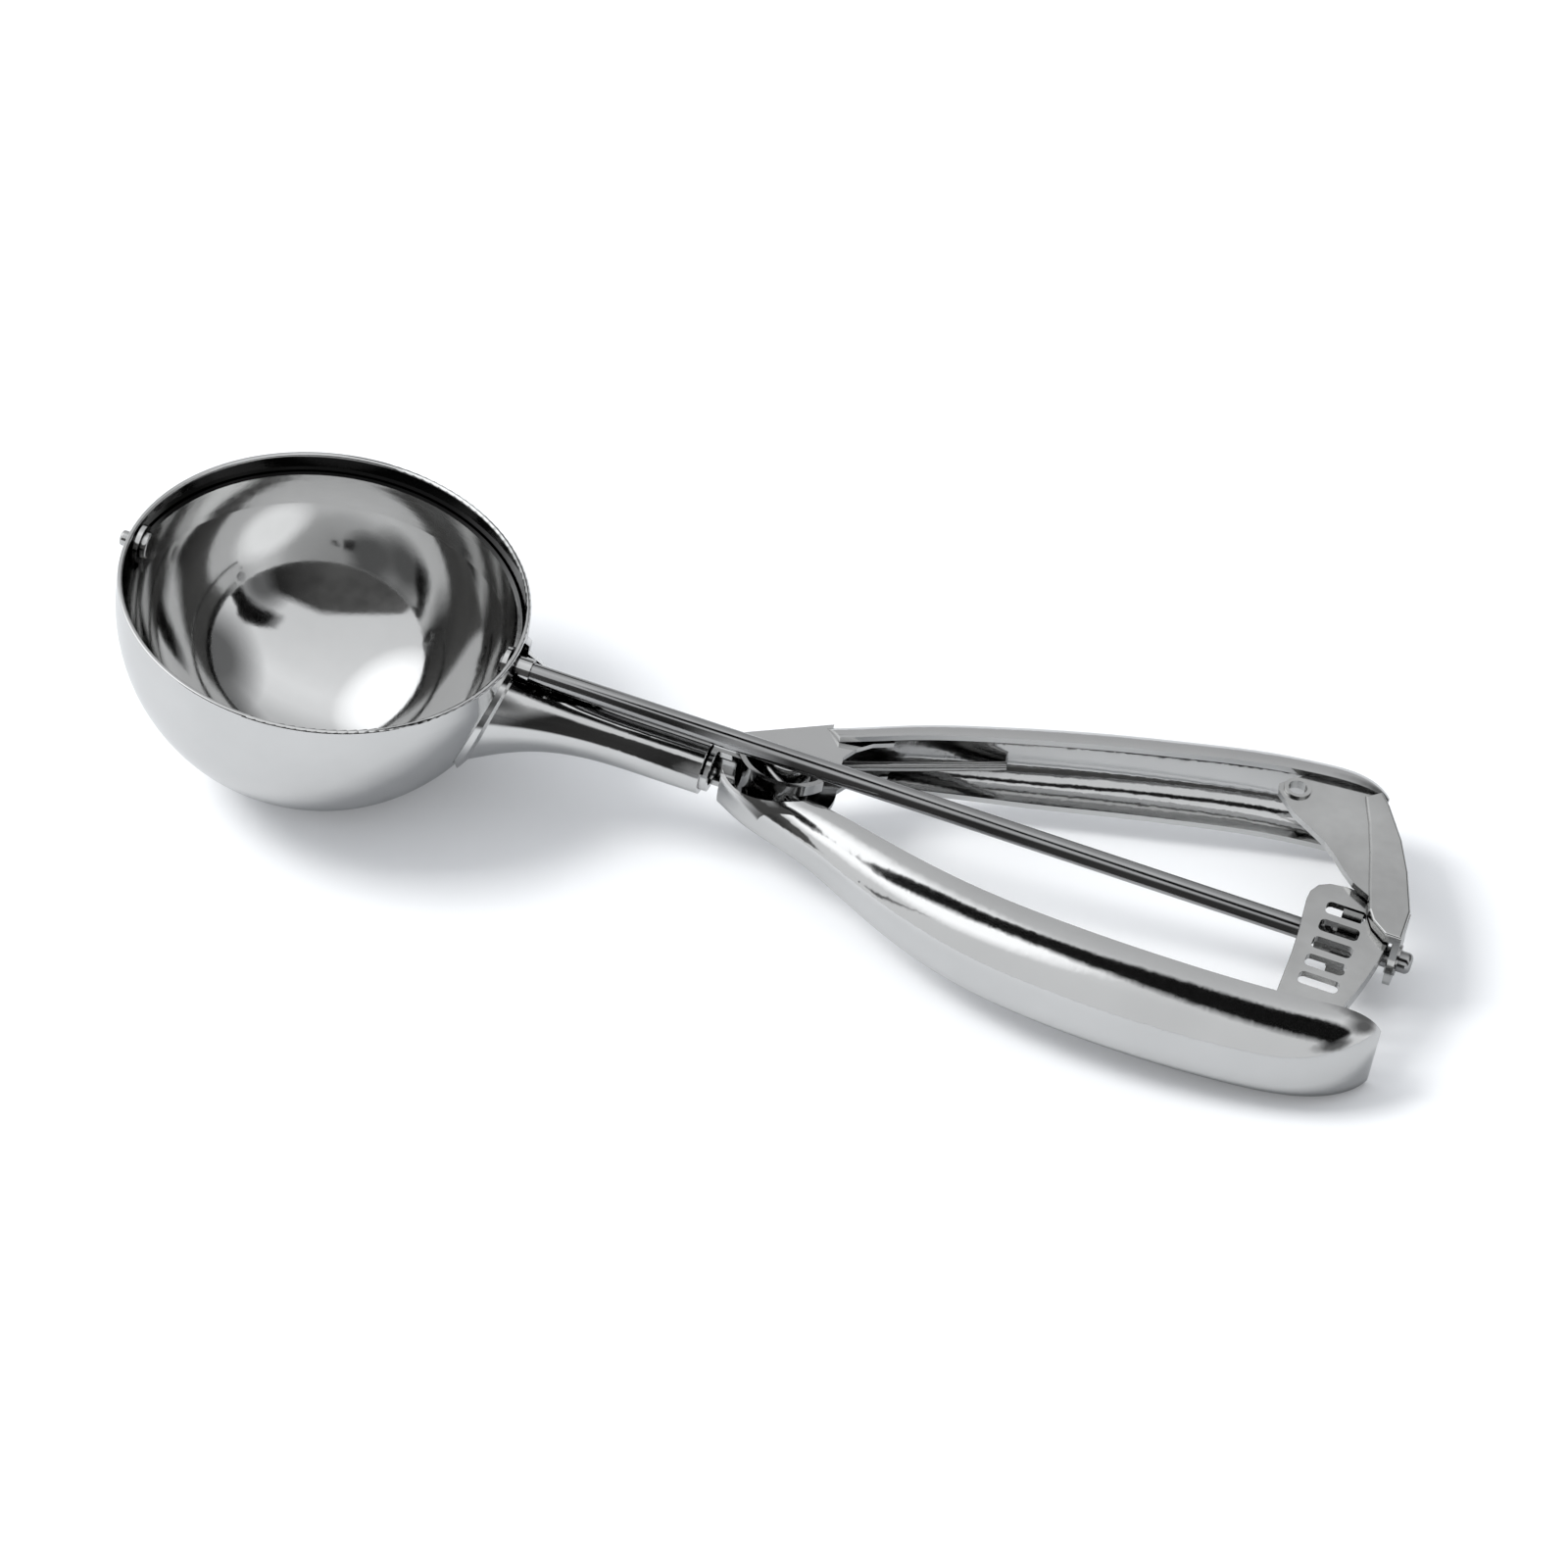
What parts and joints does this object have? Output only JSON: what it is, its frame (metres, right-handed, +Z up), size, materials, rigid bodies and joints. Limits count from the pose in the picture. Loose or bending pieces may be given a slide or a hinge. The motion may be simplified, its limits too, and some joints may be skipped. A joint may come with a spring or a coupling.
{
  "type": "ice cream scoop",
  "caption": "Squeeze-handle ice cream scoop: round steel bowl on a neck, sprung handles, and a toothed rod that sweeps a scraper blade round the bowl's inside.",
  "frame": {"origin": "middle of the bowl's mouth, in the plane of its rim", "axes": "+X along the drive rod from the bowl towards the handle ends, +Y towards the fixed handle, +Z straight up out of the bowl's mouth"},
  "size_m": [0.2298, 0.0704, 0.0437],
  "materials": {
    "polished_steel": "polished",
    "chromed_steel": "polished",
    "spring_steel": "drawn wire",
    "pinion_metal": "machined"
  },
  "bodies": {
    "frame": {"bowl": "polished_steel", "neck_tube": "polished_steel", "fixed_handle": "chromed_steel", "pivot_rivet": "polished_steel", "pivot_sleeve": "chromed_steel", "pivot_washer": "chromed_steel", "handle_spring": "spring_steel", "end_bracket": "chromed_steel", "rod_end_bush": "chromed_steel"},
    "squeeze": {"squeeze_handle": "chromed_steel", "rack_plate": "chromed_steel"},
    "scraper": {"scraper_blade": "polished_steel", "scraper_far_pin": "chromed_steel", "drive_rod": "polished_steel", "rod_collar": "chromed_steel", "pinion": "pinion_metal", "pinion_pin": "chromed_steel"}
  },
  "joints": [
    {"name": "handle_squeeze", "type": "hinge", "parent": "frame", "child": "squeeze", "pos_m": [0.0826, 0.006, -0.0164], "axis": [0, 0, 1], "range_deg": [0, 9.1], "stiffness_Nm_per_rad": 3, "springref_deg": -6.88, "deforming": ["handle_spring"]},
    {"name": "scraper_sweep", "type": "hinge", "parent": "frame", "child": "scraper", "pos_m": [0, 0, -0.0035], "axis": [-1, 0, 0], "range_deg": [0, 160.5]}
  ],
  "couplings": [
    {"joint": "scraper_sweep", "follows": "handle_squeeze", "ratio": 17.6}
  ]
}
